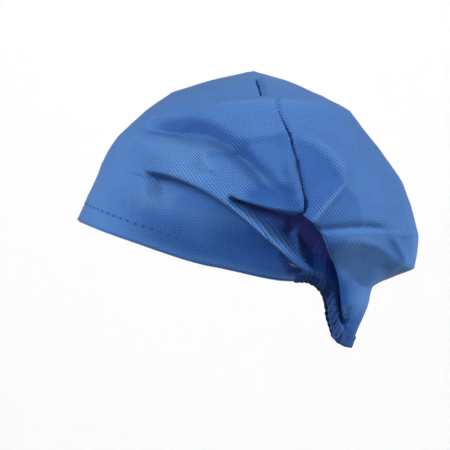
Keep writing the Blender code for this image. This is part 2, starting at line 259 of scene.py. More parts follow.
LEFT_CREASES = (
    Crease("top_edge", (0.347, 0.846), (0.559, 0.905), (0.769, 0.850), 0.36, 0.35, 0.45),
    Crease("seam_top", (0.578, 0.890), (0.596, 0.820), (0.624, 0.755), -0.42, 0.10, 0.12, 0.10, 0.06),
    Crease("peak", (0.520, 0.984), (0.533, 0.940), (0.538, 0.896), -0.62, 0.26, 0.10, 0.15, 0.12),
    Crease("seam_crest", (0.598, 0.711), (0.622, 0.595), (0.652, 0.479), 0.30, 0.22, 0.16, 0.25, 0.20),
    Crease("facet_crest", (0.669, 0.455), (0.720, 0.518), (0.786, 0.606), 0.50, 0.40, 0.20, 0.12, 0.30),
    Crease("facet_edge", (0.629, 0.758), (0.756, 0.711), (0.774, 0.581), 0.36, 0.50, 0.36, 0.12, 0.20),
    Crease("cross_groove", (0.616, 0.758), (0.498, 0.735), (0.324, 0.682), -0.15, 0.45, 0.20),
    Crease("cross_patch", (0.595, 0.726), (0.556, 0.706), (0.507, 0.692), -0.20, 0.30, 0.50),
    Crease("nick", (0.362, 0.694), (0.378, 0.658), (0.397, 0.620), 0.46, 0.24, 0.10, 0.20, 0.20),
    Crease("pouch_groove", (0.667, 0.455), (0.779, 0.440), (0.905, 0.425), -0.55, 0.26, 0.11, 0.08, 0.15),
    Crease("pouch_end", (0.893, 0.417), (0.944, 0.411), (0.992, 0.413), 0.35, 0.12, 0.20),
    Crease("pouch_crest", (0.903, 0.416), (0.934, 0.362), (0.954, 0.298), 0.45, 0.30, 0.18),
    Crease("brow_nick", (0.149, 0.622), (0.192, 0.624), (0.219, 0.582), -0.34, 0.12, 0.40),
    Crease("brow_crest", (0.206, 0.683), (0.304, 0.648), (0.391, 0.556), 0.15, 0.40, 0.50),
    Crease("roll_crest", (0.448, 0.538), (0.537, 0.460), (0.705, 0.225), 0.40, 0.30, 0.25, 0.20, 0.10),
    Crease("side_seam", (0.620, 0.323), (0.622, 0.291), (0.625, 0.252), 0.08, 0.10, 0.10),
    Crease("nape_pull", (0.790, 0.129), (0.819, 0.236), (0.894, 0.289), 0.30, 0.35, 0.40),
    Crease("nape_dent", (0.775, 0.118), (0.791, 0.104), (0.808, 0.090), -0.50, 0.30, 0.25),
    Crease("back_sweep", (0.789, 0.595), (0.868, 0.518), (0.949, 0.499), 0.10, 0.60, 0.60),
    Crease("front_pull", (0.068, 0.558), (0.138, 0.577), (0.187, 0.635), 0.10, 0.50, 0.50),
)

RIGHT_CREASES = (
    Crease("top_edge", (0.380, 0.885), (0.562, 0.938), (0.776, 0.868), 0.16, 0.60, 0.60),
    Crease("seam_groove", (0.640, 0.840), (0.660, 0.650), (0.664, 0.470), -0.30, 0.25, 0.45, 0.15, 0.08),
    Crease("facet_crest", (0.664, 0.480), (0.705, 0.620), (0.745, 0.780), 0.30, 0.45, 0.50),
    Crease("pouch_groove", (0.664, 0.450), (0.800, 0.440), (0.945, 0.420), -0.44, 0.55, 0.25, 0.10, 0.30),
    Crease("cross_groove", (0.610, 0.740), (0.480, 0.735), (0.300, 0.660), -0.16, 0.40, 0.25),
    Crease("roll_crest", (0.420, 0.500), (0.560, 0.410), (0.690, 0.290), 0.20, 0.35, 0.30, 0.30, 0.20),
    Crease("brow_nick", (0.120, 0.660), (0.170, 0.640), (0.230, 0.560), -0.16, 0.35, 0.30),
    Crease("nape_pull", (0.785, 0.150), (0.820, 0.190), (0.870, 0.230), 0.14, 0.30, 0.35),
    Crease("back_sweep", (0.800, 0.640), (0.880, 0.560), (0.970, 0.520), 0.12, 0.60, 0.60),
    Crease("front_pull", (0.070, 0.600), (0.140, 0.600), (0.200, 0.680), 0.10, 0.50, 0.50),
)

# Patches of the left side with painted shade, where the cloth is turned from the light and in part where it
# lies in two layers
LEFT_FACETS = (
    Facet(
        "behind_seam", 0.85,
        ((0.631, 0.745), (0.685, 0.717), (0.730, 0.668), (0.770, 0.591), (0.674, 0.469), (0.654, 0.570)),
    ),
    Facet(
        "before_seam", 0.6,
        ((0.478, 0.734), (0.606, 0.766), (0.623, 0.748), (0.634, 0.661), (0.642, 0.556), (0.614, 0.536)),
    ),
    Facet(
        "under_crest", 0.55,
        ((0.677, 0.462), (0.773, 0.581), (0.810, 0.536), (0.833, 0.434), (0.745, 0.445)),
    ),
    Facet(
        "over_ear", 1.25,
        (
            (0.495, 0.570), (0.537, 0.584), (0.603, 0.577), (0.654, 0.536),
            (0.657, 0.494), (0.603, 0.504), (0.537, 0.518), (0.498, 0.539),
        ),
        0.0100,
    ),
    Facet(
        "under_groove", 1.0,
        ((0.685, 0.445), (0.745, 0.431), (0.787, 0.410), (0.773, 0.375), (0.730, 0.375), (0.708, 0.396)),
        0.0100,
    ),
    Facet(
        "nape_side", 0.9,
        ((0.767, 0.277), (0.804, 0.270), (0.810, 0.215), (0.798, 0.173), (0.776, 0.180)),
        0.0100,
    ),
    Facet(
        "pouch_end", 0.55,
        ((0.889, 0.403), (0.963, 0.417), (0.966, 0.354), (0.940, 0.305), (0.912, 0.319)),
        0.0100,
    ),
)

# Patches of the left side with a painted highlight, on the brow's ridge and under the temple fold
LEFT_HIGHLIGHTS = (
    Facet(
        "brow_ridge", 0.6,
        (
            (0.191, 0.745), (0.262, 0.752), (0.361, 0.710), (0.404, 0.633),
            (0.376, 0.605), (0.305, 0.633), (0.219, 0.703),
        ),
        0.0120,
    ),
    Facet(
        "under_temple", 0.65,
        ((0.185, 0.598), (0.242, 0.595), (0.288, 0.549), (0.259, 0.501), (0.191, 0.508)),
        0.0120,
    ),
)

LEFT_SHADOWS = (
    Facet(
        "by_seam", 0.75,
        ((0.588, 0.322), (0.604, 0.345), (0.632, 0.322), (0.650, 0.290), (0.642, 0.262), (0.612, 0.268)),
    ),
)

Number = Union[float, int]
Colour = tuple[float, float, float, float]
Ramp = tuple[float, float]
Line = Union[Fold, Crease]


def smoothstep(share: np.ndarray) -> np.ndarray:
    """Eases a share from 0 to 1.

    Args:
        share: Shares, which may lie outside 0 to 1.

    Returns:
        The eased shares.
    """
    share = np.clip(share, 0.0, 1.0)
    return share * share * (3.0 - 2.0 * share)


def column_of(table: Sequence[NamedTuple], name: str) -> np.ndarray:
    """Reads one named column of a table.

    Args:
        table: Rows of one kind.
        name: Name of the column.

    Returns:
        The column's numbers.
    """
    return np.array([getattr(row, name) for row in table], float)


def curve_through(knots: np.ndarray, values: np.ndarray, creases: np.ndarray, at: np.ndarray) -> np.ndarray:
    """Cubic curves through values. A creased knot takes the slopes of the chords on its two sides.

    Args:
        knots: Place of each knot.
        values: Array of knots, curves and parts.
        creases: How sharp each knot is, from 0 to 1.
        at: Places at which the curves are read.

    Returns:
        Array of places, curves and parts.
    """
    chords = np.diff(values, axis=0) / np.diff(knots)[:, None, None]
    before = np.concatenate([chords[:1], chords])
    after = np.concatenate([chords, chords[-1:]])
    mean, sharp = (before + after) / 2.0, creases[:, None, None]
    before, after = mean + (before - mean) * sharp, mean + (after - mean) * sharp
    low = np.clip(np.searchsorted(knots, at, side="right") - 1, 0, len(knots) - 2)
    span = (knots[low + 1] - knots[low])[:, None, None]
    t = (at[:, None, None] - knots[low][:, None, None]) / span
    near = (2 * t**3 - 3 * t**2 + 1) * values[low] + (t**3 - 2 * t**2 + t) * span * after[low]
    far = (3 * t**2 - 2 * t**3) * values[low + 1] + (t**3 - t**2) * span * before[low + 1]
    return near + far


def from_table(table: Sequence[NamedTuple], key: str, name: str, at: np.ndarray) -> np.ndarray:
    """Reads a smooth curve through one column of a table.

    Args:
        table: Rows of one kind.
        key: Column that holds the knots.
        name: Column that holds the values.
        at: Places at which the curve is read.

    Returns:
        The values at those places.
    """
    values = column_of(table, name)[:, None, None]
    return curve_through(column_of(table, key), values, np.zeros(len(table)), at)[:, 0, 0]


def outward(points: np.ndarray) -> np.ndarray:
    """Outward normals of a whole sheet of points.

    Args:
        points: Array of rows, columns and coordinates, closed round its columns.

    Returns:
        Unit normals in the same layout.
    """
    around = np.roll(points, -1, axis=1) - np.roll(points, 1, axis=1)
    normals = np.cross(around, np.gradient(points, axis=0))
    return normals / np.maximum(np.linalg.norm(normals, axis=2, keepdims=True), NO_LENGTH)


@dataclass
class SideCurve:
    """A curve of the side view, from start past bend to end, in shares of the cap's length and height."""

    start: tuple[float, float]
    bend: tuple[float, float]
    end: tuple[float, float]
    samples: int = 28

    def points(self) -> np.ndarray:
        """Samples the curve.

        Returns:
            Points along the curve, in metres of the side view.
        """
        t = np.linspace(0.0, 1.0, self.samples)[:, None]
        corners = [self.in_metres(place) for place in (self.start, self.bend, self.end)]
        return (1 - t) ** 2 * corners[0] + 2 * t * (1 - t) * corners[1] + t**2 * corners[2]

    @staticmethod
    def in_metres(place: tuple[float, float]) -> np.ndarray:
        """Turns shares of the side view into metres."""
        return np.array([(place[0] - MIDDLE[0]) * CAP_LENGTH, (place[1] - MIDDLE[2]) * CAP_HEIGHT])

    def across(self, places: np.ndarray) -> tuple[np.ndarray, np.ndarray, np.ndarray]:
        """Measures places against the curve.

        Args:
            places: Array of places in the side view, in metres.

        Returns:
            Signed distances, positive on the right of the curve's run, shares of the run, and unit
            vectors that point to the curve's right.
        """
        curve = self.points()
        best = np.full(len(places), np.inf)
        signed, along = np.zeros(len(places)), np.zeros(len(places))
        right = np.zeros((len(places), 2))
        for i, (a, b) in enumerate(zip(curve[:-1], curve[1:])):
            run = b - a
            t = np.clip((places - a) @ run / (run @ run), 0.0, 1.0)
            away = places - a - t[:, None] * run
            far = np.linalg.norm(away, axis=1)
            side = np.where(run[1] * away[:, 0] - run[0] * away[:, 1] >= 0.0, 1.0, -1.0)
            nearer = far < best
            best = np.where(nearer, far, best)
            signed = np.where(nearer, far * side, signed)
            along = np.where(nearer, (i + t) / (self.samples - 1), along)
            right[nearer] = np.array([run[1], -run[0]]) / np.linalg.norm(run)
        return signed, along, right


@dataclass
class CapForm:
    """The outer face of the cap's sheet in fine rows and columns, with its folds, creases and gathers."""

    left_front: int = 120
    left_nape: int = 92
    right_front: int = 76
    right_nape: int = 62
    rows: int = 138
    crowding: float = 1.0
    fold_zone: tuple[float, float] = (0.0100, 0.1450)
    ring_samples: int = 14
    gathers: int = 5
    gather_depth: float = 0.0011
    gather_fade: float = 0.0150
    gather_run_in: float = 0.08
    puckers: int = 27
    pucker_depth: float = 0.00095
    pucker_fade: float = 0.0130
    pucker_power: float = 0.8
    pucker_drift: tuple[float, float, float] = (0.9, 7.0, 1.3)
    crumple_depth: float = 0.00055
    crumple_size: float = 0.0260
    crumple_mean: float = 1.2
    crumple_noise: tuple[float, float, int, float, float] = (1.0, 2.1, 3, 1.0, 2.0)
    shading: float = 0.42
    shading_floor: float = 0.12
    groove_shading: float = 3.0
    crest_power: int = 3
    side_middle: float = 0.50
    most_stretch: float = 1.7
    turns: np.ndarray = field(init=False)
    signs: np.ndarray = field(init=False)
    smooth: np.ndarray = field(init=False)
    points: np.ndarray = field(init=False)
    run: np.ndarray = field(init=False)
    normals: np.ndarray = field(init=False)
    # Painted tones for the colour: shade of the folds, highlights, shade partly over cloth in two layers,
    # and shadow
    hollow_shade: np.ndarray = field(init=False)
    crest: np.ndarray = field(init=False)
    double: np.ndarray = field(init=False)
    shadow: np.ndarray = field(init=False)

    def __post_init__(self) -> None:
        """Works out the whole sheet."""
        self.turns, self.signs = self.column_turns()
        rings = np.stack([self.ring_points(ring) for ring in RINGS])
        knots = np.arange(len(RINGS), dtype=float)
        creases = column_of(RINGS, "crease")
        coarse = np.linspace(0.0, knots[-1], (len(RINGS) - 1) * self.ring_samples + 1)
        heights = self.even_heights(curve_through(knots, rings, creases, coarse), coarse)
        self.smooth = curve_through(knots, rings, creases, heights)
        self.run = self.run_above_rim(self.smooth)
        self.points = self.folded()
        self.normals = outward(self.points)
        self.normals[-2:] = (0.0, 0.0, 1.0)

    @property
    def middle_column(self) -> int:
        """Number of the column at the middle of the nape."""
        return self.left_front + self.left_nape

    def column_turns(self) -> tuple[np.ndarray, np.ndarray]:
        """Places the columns: the left side's from the front, and then the right side's back.

        Returns:
            The turn of each column, and its side as -1, 0 or 1.
        """
        left = self.half_turns(self.left_front, self.left_nape)
        right = self.half_turns(self.right_front, self.right_nape)[::-1][1:-1]
        signs = np.concatenate([-np.ones(len(left)), np.ones(len(right))])
        signs[[0, self.middle_column]] = 0.0
        return np.concatenate([left, right]), signs

    @staticmethod
    def half_turns(front: int, nape: int) -> np.ndarray:
        """Turns of one side's columns, with their own spacing before and behind the seam."""
        before = np.linspace(0.0, SEAM_TURN, front + 1)[:-1]
        return np.concatenate([before, np.linspace(SEAM_TURN, 1.0, nape + 1)])

    def front_columns(self) -> np.ndarray:
        """Columns from the right side's seam over the brow to the left side's seam."""
        return np.arange(-self.right_front, self.left_front + 1) % len(self.turns)

    def nape_columns(self) -> np.ndarray:
        """Columns from the left side's seam round the nape to the right side's seam."""
        return np.arange(self.left_front + 1, self.middle_column + self.right_nape)

    @staticmethod
    def plan_ring(ring: Ring, bearing: np.ndarray) -> np.ndarray:
        """Points of one ring, a level loop set at a tilt.

        Args:
            ring: The ring.
            bearing: Bearings of the points, in radians from the front.

        Returns:
            The points, in shares of the cap's sizes.
        """
        power = 2.0 / ring.square
        along = -np.sign(np.cos(bearing)) * np.abs(np.cos(bearing)) ** power
        across = np.abs(np.sin(bearing)) ** power
        middle, half = (ring.front + ring.back) / 2.0, (ring.back - ring.front) / 2.0
        up = ring.front_up + (ring.back_up - ring.front_up) * (along + 1.0) / 2.0
        return np.stack([middle + half * along, ring.width / 2.0 * across, up], axis=-1)

    def ring_points(self, ring: Ring) -> np.ndarray:
        """Points of one ring at every column, as it follows the rim's line by its own share.

        Args:
            ring: The ring.

        Returns:
            The points in metres.
        """
        even = self.turns * math.pi
        rim_bearing = np.radians(from_table(RIM_LINE, "turn", "bearing", self.turns))
        points = self.plan_ring(ring, even + (rim_bearing - even) * ring.rim)
        level = self.plan_ring(RINGS[0], rim_bearing)[:, 2]
        points[:, 2] += (from_table(RIM_LINE, "turn", "up", self.turns) - level) * ring.rim
        points[:, 1] *= self.signs
        return (points - MIDDLE) * (CAP_LENGTH, CAP_WIDTH, CAP_HEIGHT)

    def even_heights(self, points: np.ndarray, heights: np.ndarray) -> np.ndarray:
        """Spaces the rows over the sheet, closest where the folds are.

        Args:
            points: Points of the smooth form at the given heights.
            heights: Heights of those points, counted in rings.

        Returns:
            Heights of the rows, counted in rings.
        """
        mean = self.run_above_rim(points).mean(axis=1)
        low, high = self.fold_zone
        folded = smoothstep((mean - low) / FOLD_REACH) * smoothstep((high - mean) / FOLD_REACH)
        steps = np.diff(mean) * (1.0 + self.crowding * (folded[1:] + folded[:-1]) / 2.0)
        spent = np.concatenate([[0.0], np.cumsum(steps)])
        return np.interp(np.linspace(0.0, spent[-1], self.rows), spent, heights)

    @staticmethod
    def run_above_rim(points: np.ndarray) -> np.ndarray:
        """Distance of each point above the rim, along its own column."""
        steps = np.linalg.norm(np.diff(points, axis=0), axis=2)
        return np.concatenate([np.zeros((1, points.shape[1])), np.cumsum(steps, axis=0)])

    def against(self, line: Line) -> tuple[np.ndarray, np.ndarray, np.ndarray]:
        """Measures the whole sheet against a fold's or crease's curve, as SideCurve.across does."""
        places = self.smooth[:, :, [0, 2]].reshape(-1, 2)
        return SideCurve(line.start, line.bend, line.end).across(places)

    def presence(
        self, line: Line, along: np.ndarray, side: float, spread: Union[np.ndarray, float] = 1.0
    ) -> np.ndarray:
        """How far a fold or crease is there, as it grows, fades and stays on its own side.

        Args:
            line: The fold or crease.
            along: Shares of the curve's run.
            side: -1 for the left side and 1 for the right.
            spread: How much longer its ends are at each point.

        Returns:
            Shares from 0 to 1.
        """
        ends = smoothstep(along / (line.grow * spread)) * smoothstep((1.0 - along) / (line.fade * spread))
        return ends * smoothstep(self.smooth[:, :, 1].ravel() * side / FOLD_MARGIN)

    def fold_shift(self, fold: Fold, side: float) -> tuple[np.ndarray, np.ndarray, np.ndarray]:
        """Works out one fold.

        Args:
            fold: The fold.
            side: -1 for the left side and 1 for the right.

        Returns:
            Its height over the sheet, how far it pushes the sheet sideways, and its shaded face.
        """
        across, along, right = self.against(fold)
        share = across / FOLD_REACH
        crisp, step = fold.fall < 1.0, fold.step
        if fold.soft:
            step = step * (SOFT_START + (1.0 - SOFT_START) * along)
        elif crisp:
            step = step * (CRISP_START + (1.0 - CRISP_START) * smoothstep(along / CRISP_GROWTH))
        rise = fold.lip * smoothstep(1.0 + share / fold.above)
        fallen = np.clip(share / step, 0.0, 1.0)
        down = smoothstep(fallen) if fold.soft else 1.0 - (1.0 - fallen) ** fold.fall
        width = (fold.below - step) * (fold.taper + (1.0 - fold.taper) * along**2)
        back = (step + width - share) / (fold.rise or width)
        level = -fold.drop * (np.clip(back, 0.0, 1.0) ** CRISP_RISE if crisp else smoothstep(back))
        level = np.where(share < step, fold.lip - (fold.lip + fold.drop) * down, level)
        if fold.drop == 0.0:
            level = fold.lip * smoothstep(1.0 - share / fold.below)
        pushed_back = -PUSH_BACK * smoothstep((step + width - share) / width)
        push = np.where(share < step, 1.0 - (1.0 + PUSH_BACK) * smoothstep(share / step), pushed_back)
        push = np.where(share < 0.0, smoothstep(1.0 + share / fold.above), push)
        spread = 1.0 + END_SPREAD * np.clip(np.abs(share) - END_CORE, 0.0, 1.0)
        ends = self.presence(fold, along, side, spread)
        shape = self.smooth.shape[:2]
        height = (np.where(share < 0.0, rise, level) * ends * FOLD_DEPTH).reshape(shape)
        sideways = right * (push * ends * fold.lean * FOLD_DEPTH)[:, None]
        # The fold's painted shade: the depth of its trough, and the face of the drop instead where its foot
        # is crisp
        shaded = np.maximum(0.0, -level) * (share >= 0.0)
        if crisp:
            foot = smoothstep(1.0 - (share - step) / SHADE_END)
            shaded = fold.drop * smoothstep(share / SHADE_START) * foot
        return height, sideways.reshape(*shape, 2), (shaded * ends).reshape(shape)

    def crease_height(self, crease: Crease, side: float) -> np.ndarray:
        """Works out one pressed crease.

        Args:
            crease: The crease.
            side: -1 for the left side and 1 for the right.

        Returns:
            Its height over the sheet, as a share of FOLD_DEPTH.
        """
        across, along, _ = self.against(crease)
        width = np.where(across < 0.0, crease.above, crease.below) * FOLD_REACH
        crest = np.clip(1.0 - np.abs(across) / width, 0.0, 1.0) ** CREST_POWER
        lift = crest * self.presence(crease, along, side) * crease.height
        return lift.reshape(self.smooth.shape[:2])

    def facet_share(self, facet: Facet) -> np.ndarray:
        """How strong one patch of the left side is at each point. Its soft edge lies on the corners' lines.

        Args:
            facet: The patch.

        Returns:
            Its strength, from 0 to its depth.
        """
        places = self.smooth[:, :, [0, 2]]
        corners = np.array([SideCurve.in_metres(corner) for corner in facet.corners])
        inside = np.full(places.shape[:2], np.inf)
        for a, b in zip(corners, np.roll(corners, -1, axis=0)):
            run = (b - a) / np.linalg.norm(b - a)
            away = places - a
            inside = np.minimum(inside, run[1] * away[..., 0] - run[0] * away[..., 1])
        left = smoothstep(-self.smooth[:, :, 1] / FOLD_MARGIN)
        return smoothstep(inside / facet.edge + 0.5) * left * facet.depth

    def gather_height(self) -> np.ndarray:
        """Works out the broad gathers and the fine puckers that the elastic draws up.

        Returns:
            Their height over the sheet.
        """
        share = (self.turns - SEAM_TURN) / (1.0 - SEAM_TURN)
        start = smoothstep(share / self.gather_run_in)
        broad = self.gather_depth * np.cos(share * self.gathers * math.tau) * start
        size, pace, first = self.pucker_drift
        drift = size * np.sin(share * pace + first)
        wave = 1.0 - 2.0 * np.abs(np.sin(share * self.puckers * math.pi + drift)) ** self.pucker_power
        fine = self.pucker_depth * wave * start
        return broad * np.exp(-self.run / self.gather_fade) + fine * np.exp(-self.run / self.pucker_fade)

    def crumple_height(self) -> np.ndarray:
        """Works out the soft crumpling that the crisp sheet keeps all over.

        Returns:
            Its height over the sheet.
        """
        flat = self.smooth.reshape(-1, 3) / self.crumple_size
        values = np.array([noise.ridged_multi_fractal(Vector(p), *self.crumple_noise) for p in flat])
        return (values.reshape(self.smooth.shape[:2]) - self.crumple_mean) * self.crumple_depth

    def folded(self) -> np.ndarray:
        """Moves the smooth form by all its folds, creases, gathers and crumpling, and keeps its painted
        tones.

        Returns:
            The points of the folded sheet.
        """
        level = smoothstep((self.run - FLAT_EDGE) / FOLD_FADE)
        height, sideways = np.zeros(self.run.shape), np.zeros((*self.run.shape, 2))
        shaded, crest = np.zeros(self.run.shape), np.zeros(self.run.shape)
        for side, folds, creases in ((-1.0, LEFT_FOLDS, LEFT_CREASES), (1.0, RIGHT_FOLDS, RIGHT_CREASES)):
            for fold in folds:
                rise, push, dark = self.fold_shift(fold, side)
                height, sideways, shaded = height + rise, sideways + push, shaded + dark
            height = np.maximum(height, -DEEPEST_FOLD)
            for crease in creases:
                lift, size = self.crease_height(crease, side), abs(crease.height)
                height = height + lift * FOLD_DEPTH
                # A groove deepens the painted shade
                shaded = shaded + self.groove_shading * np.maximum(0.0, -lift) ** 2
                # A crest gets a painted highlight
                crest = crest + (np.maximum(0.0, lift) / size) ** self.crest_power * size
        # Painted shade where the folds and grooves lie deep
        self.hollow_shade = smoothstep(shaded * level * self.shading - self.shading_floor)
        # The highlight patches add more painted highlight
        crest = crest + sum(self.facet_share(facet) for facet in LEFT_HIGHLIGHTS)
        self.crest = np.clip(crest * level, 0.0, 1.0)
        # Painted shade on patches of the left side, in part where the cloth lies in two layers
        self.double = sum(self.facet_share(facet) for facet in LEFT_FACETS)
        self.shadow = sum(self.facet_share(facet) for facet in LEFT_SHADOWS)
        height = (height + self.crumple_height()) * level + self.gather_height()
        points = self.smooth + outward(self.smooth) * height[:, :, None]
        points[:, :, [0, 2]] += sideways * level[:, :, None]
        points[-1] = self.smooth[-1]
        return points

    def at_run(self, above: float, outwards: float, beyond: float = 0.0) -> np.ndarray:
        """One row of points at a distance above the rim.

        Args:
            above: Distance above the rim along the columns.
            outwards: Distance off the sheet's outer face.
            beyond: Distance past the rim, in the sheet's own face.

        Returns:
            Array of columns and coordinates.
        """
        row = np.empty((len(self.turns), 3))
        normal = np.empty_like(row)
        for i in range(len(self.turns)):
            for k in range(3):
                row[i, k] = np.interp(above, self.run[:, i], self.points[:, i, k])
                normal[i, k] = np.interp(above, self.run[:, i], self.normals[:, i, k])
        normal /= np.linalg.norm(normal, axis=1, keepdims=True)
        rim = np.roll(row, -1, axis=0) - np.roll(row, 1, axis=0)
        down = np.cross(rim, normal)
        down /= np.linalg.norm(down, axis=1, keepdims=True)
        return row + normal * outwards + down * beyond

    def cloth_places(self, points: np.ndarray) -> np.ndarray:
        """Places on the cloth, in metres, measured outwards from the middle of either side.

        Args:
            points: Points of the smooth form, in any layout.

        Returns:
            Two cloth coordinates for each point, in the same layout.
        """
        middle = np.array([self.side_middle - MIDDLE[0], 0.0, self.side_middle - MIDDLE[2]])
        away = points - middle * (CAP_LENGTH, 0.0, CAP_HEIGHT)
        depth = CAP_WIDTH / 2.0 - np.abs(points[..., 1])
        reach = np.linalg.norm(away[..., [0, 2]], axis=-1)
        bend = 2.0 * np.arctan2(np.maximum(depth, 0.0), np.maximum(reach, NEAR_MIDDLE))
        stretch = np.where(bend > FLAT_BEND, bend / np.maximum(np.sin(bend), NEAR_MIDDLE), 1.0)
        return away[..., [0, 2]] * np.clip(stretch, 1.0, self.most_stretch)[..., None]


class Value:
    """A number that a shader works out. Arithmetic on it adds Math nodes."""

    def __init__(self, nodes: "TreeMaker", socket: bpy.types.NodeSocket) -> None:
        """Keeps the maker of nodes and the socket that gives the number."""
        self.nodes, self.socket = nodes, socket

    def _math(self, operation: str, *terms: Union["Value", Number]) -> "Value":
        """Adds one Math node.

        Args:
            operation: The node's operation.
            terms: Its inputs in order.

        Returns:
            The node's result.
        """
        made = self.nodes.node("ShaderNodeMath", {"operation": operation}, dict(enumerate(terms)))
        return Value(self.nodes, made.outputs[0])

    def __add__(self, other: Union["Value", Number]) -> "Value":
        """Sum."""
        return self._math("ADD", self, other)

    def __radd__(self, other: Number) -> "Value":
        """Sum."""
        return self._math("ADD", other, self)

    def __sub__(self, other: Union["Value", Number]) -> "Value":
        """Difference."""
        return self._math("SUBTRACT", self, other)

    def __rsub__(self, other: Number) -> "Value":
        """Difference from a number."""
        return self._math("SUBTRACT", other, self)

    def __mul__(self, other: Union["Value", Number]) -> "Value":
        """Product."""
        return self._math("MULTIPLY", self, other)

    def __rmul__(self, other: Number) -> "Value":
        """Product."""
        return self._math("MULTIPLY", other, self)

    def __truediv__(self, other: Union["Value", Number]) -> "Value":
        """Quotient."""
        return self._math("DIVIDE", self, other)

    def absolute(self) -> "Value":
        """Size without its sign."""
        return self._math("ABSOLUTE", self)

    def root(self) -> "Value":
        """Square root."""
        return self._math("SQRT", self)

    def wrapped(self, low: float, high: float) -> "Value":
        """Wraps the number into a range."""
        return self._math("WRAP", self, high, low)

    def ramp(self, low: float, high: float) -> "Value":
        """Eases from one number to another.

        Args:
            low: Where the result is 0.
            high: Where the result is 1.

        Returns:
            The eased number.
        """
        made = self.nodes.node(
            "ShaderNodeMapRange",
            {"interpolation_type": "SMOOTHSTEP"},
            {"Value": self, "From Min": low, "From Max": high},
        )
        return Value(self.nodes, made.outputs["Result"])


class TreeMaker:
    """Adds nodes to a tree."""

    def __init__(self, tree: bpy.types.NodeTree) -> None:
        """Keeps the tree."""
        self.tree = tree

    def node(self, kind: str, settings: dict, values: dict) -> bpy.types.Node:
        """Adds one node.

        Args:
            kind: Blender's name of the node's type.
            settings: Properties of the node, set first.
            values: Numbers, colours, sockets or values for its inputs, by name or number.

        Returns:
            The node.
        """
        made = self.tree.nodes.new(kind)
        for key, value in settings.items():
            setattr(made, key, value)
        for key, value in values.items():
            self.feed(made.inputs[key], value)
        return made

    def feed(self, socket: bpy.types.NodeSocket, value: object) -> None:
        """Gives a socket a value or a link.

        Args:
            socket: The input socket.
            value: A number, a colour, an output socket or a Value.
        """
        if isinstance(value, Value):
            value = value.socket
        if isinstance(value, bpy.types.NodeSocket):
            self.tree.links.new(value, socket)
        else:
            socket.default_value = value


class NodeMaker(TreeMaker):
    """Makes the nodes of one material."""

    def __init__(self, name: str) -> None:
        """Starts a material with only its output and its Principled BSDF.

        Args:
            name: Name of the material.
        """
        self.material = bpy.data.materials.new(name)
        self.material.use_nodes = True
        super().__init__(self.material.node_tree)

    def finished(self, values: dict[str, object]) -> bpy.types.Material:
        """Feeds the Principled BSDF.

        Args:
            values: Numbers, colours or sockets by the names of its inputs.

        Returns:
            The material.
        """
        for name, value in values.items():
            self.feed(self.tree.nodes["Principled BSDF"].inputs[name], value)
        return self.material

    def attribute(self, name: str) -> Value:
        """A number that the mesh carries at its points."""
        made = self.node("ShaderNodeAttribute", {"attribute_name": name}, {})
        return Value(self, made.outputs["Fac"])

    def cloth(self, turn: float = 0.0) -> bpy.types.NodeSocket:
        """The cloth's own coordinates.

        Args:
            turn: Angle that they are turned by.

        Returns:
            The coordinates.
        """
        uv = self.node("ShaderNodeUVMap", {"uv_map": "cloth"}, {}).outputs["UV"]
        values = {"Vector": uv, "Rotation": (0.0, 0.0, turn)}
        return self.node("ShaderNodeMapping", {}, values).outputs["Vector"]

    def noise(self, vector: bpy.types.NodeSocket, scale: float, detail: float) -> Value:
        """Noise over a vector, from 0 to 1."""
        values = {"Vector": vector, "Scale": scale, "Detail": detail}
        return Value(self, self.node("ShaderNodeTexNoise", {}, values).outputs["Fac"])

    def place(self) -> bpy.types.NodeSocket:
        """Object coordinates."""
        return self.node("ShaderNodeTexCoord", {}, {}).outputs["Object"]

    def mixed(self, share: Value, first: object, second: object) -> bpy.types.NodeSocket:
        """Mixes two colours by a share."""
        made = self.node("ShaderNodeMix", {"data_type": "RGBA"}, {0: share, 6: first, 7: second})
        return made.outputs[2]

    def bumped(self, height: Value, distance: float, below: object = None) -> bpy.types.NodeSocket:
        """Bump from a height.

        Args:
            height: The height.
            distance: How much a height of 1 is, in metres.
            below: Another normal that the bump lies over, if any.

        Returns:
            The normal.
        """
        values = {"Height": height, "Distance": distance, "Strength": 1.0}
        if below is not None:
            values["Normal"] = below
        return self.node("ShaderNodeBump", {}, values).outputs["Normal"]


